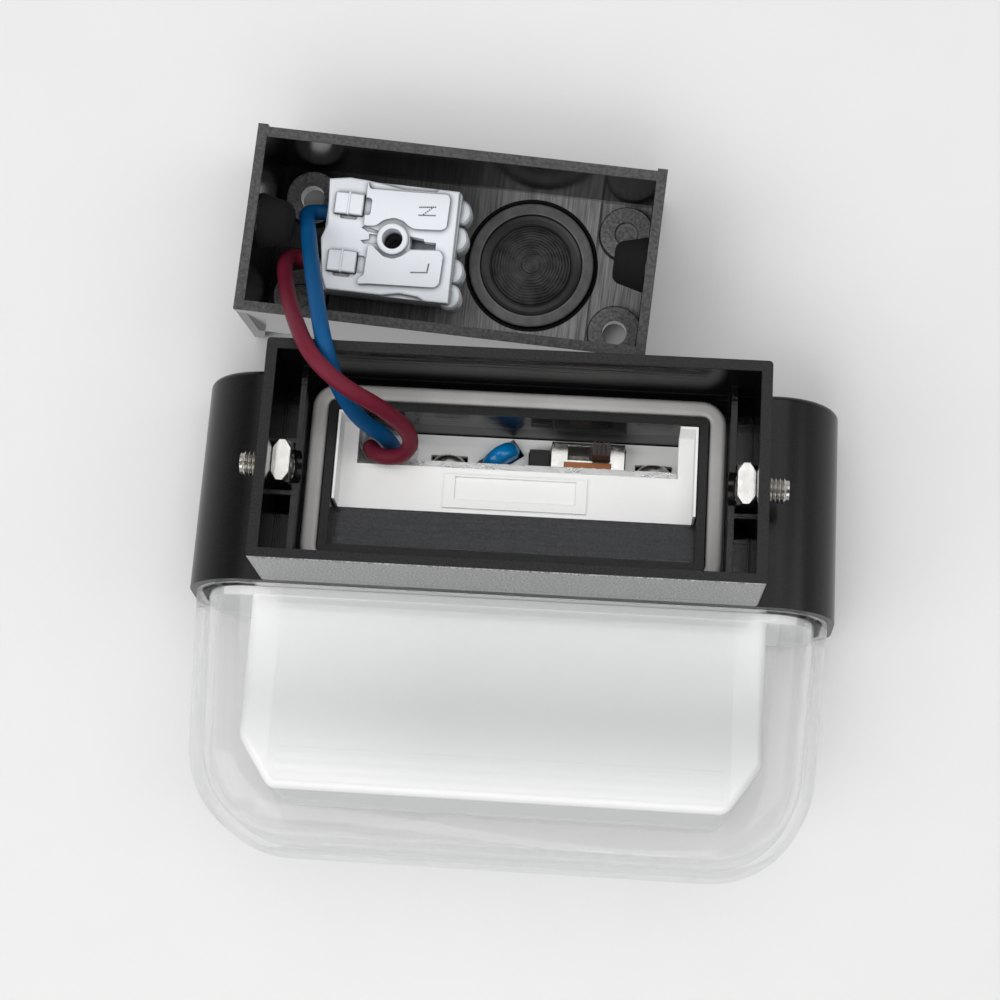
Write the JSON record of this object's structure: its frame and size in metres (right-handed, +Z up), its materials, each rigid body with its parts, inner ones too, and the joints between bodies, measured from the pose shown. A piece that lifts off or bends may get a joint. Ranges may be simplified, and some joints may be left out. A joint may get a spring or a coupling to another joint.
{
  "type": "outdoor wall light",
  "caption": "Outdoor LED wall light opened for wiring: black housing, clear cover, and a separate wall box with a terminal block on two wires.",
  "frame": {"origin": "centre of the rigid pieces' footprint, on the surface that the lamp's front face and the wall box's back lie on", "axes": "+Z up from the surface, +Y from the clear cover towards the wall box, +X along the lamp's width (right in the picture)"},
  "size_m": [0.1286, 0.1456, 0.047],
  "materials": {
    "black_moulding": "fine-grained satin black",
    "clear_polycarbonate": "clear, polished",
    "silicone": "matt light grey silicone",
    "opal_plastic": "opal white, satin",
    "white_plastic": "smooth white",
    "board_aluminium": "bare sheared edge",
    "led_yellow": "phosphor under clear resin",
    "zinc_steel": "zinc plated",
    "varistor_blue": "dipped epoxy, glossy",
    "black_epoxy": "moulded epoxy",
    "nickel_steel": "nickel plated",
    "phenolic_brown": "brown laminate",
    "knob_brown": "dark brown moulding",
    "clear_ring": "translucent",
    "black_rubber": "matt black rubber",
    "white_nylon": "smooth cool white",
    "contact_copper": "tinned copper",
    "blue_insulation": "smooth, slightly glossy",
    "burgundy_insulation": "smooth, slightly glossy"
  },
  "bodies": {
    "lamp": {"housing": "black_moulding", "clear_cover": "clear_polycarbonate", "cover_seal": "silicone", "inner_diffuser": "opal_plastic", "rear_gasket": "silicone", "inner_cover": "white_plastic", "led_board": "board_aluminium", "led_row": "led_yellow", "board_screws": "zinc_steel", "varistor": "varistor_blue", "bridge_rectifier": "black_epoxy", "driver_chips": "black_epoxy", "switch_shell": "nickel_steel", "switch_base": "phenolic_brown", "switch_pins": "nickel_steel", "cable_ring": "clear_ring", "square_nut_right": "nickel_steel", "square_nut_left": "nickel_steel", "wire_blue": "blue_insulation", "wire_burgundy": "burgundy_insulation"},
    "switch_slider": {"switch_knob": "knob_brown"},
    "clamp_screw_left": {"grub_screw_left": "zinc_steel"},
    "clamp_screw_right": {"grub_screw_right": "zinc_steel"},
    "wall_box": {"back_box": "black_moulding", "cable_grommet": "black_rubber", "terminal_body": "white_nylon", "terminal_contacts": "contact_copper"},
    "lever_n": {"terminal_lever_n": "white_nylon"},
    "lever_l": {"terminal_lever_l": "white_nylon"}
  },
  "joints": [
    {"name": "colour_switch", "type": "slide", "parent": "lamp", "child": "switch_slider", "axis": [1, 0, 0], "range_m": [-0.0048, 0]},
    {"name": "clamp_screw_left_travel", "type": "slide", "parent": "lamp", "child": "clamp_screw_left", "axis": [1, 0, 0], "range_m": [0, 0.0043]},
    {"name": "clamp_screw_right_travel", "type": "slide", "parent": "lamp", "child": "clamp_screw_right", "axis": [-1, 0, 0], "range_m": [0, 0.0043]},
    {"name": "wall_box_pull", "type": "slide", "parent": "lamp", "child": "wall_box", "axis": [0, 1, 0], "range_m": [0, 0.012], "deforming": ["wire_blue", "wire_burgundy"]},
    {"name": "lever_n_press", "type": "slide", "parent": "wall_box", "child": "lever_n", "axis": [0, 0, -1], "range_m": [0, 0.0012], "stiffness_N_per_m": 600},
    {"name": "lever_l_press", "type": "slide", "parent": "wall_box", "child": "lever_l", "axis": [0, 0, -1], "range_m": [0, 0.0012], "stiffness_N_per_m": 600}
  ]
}
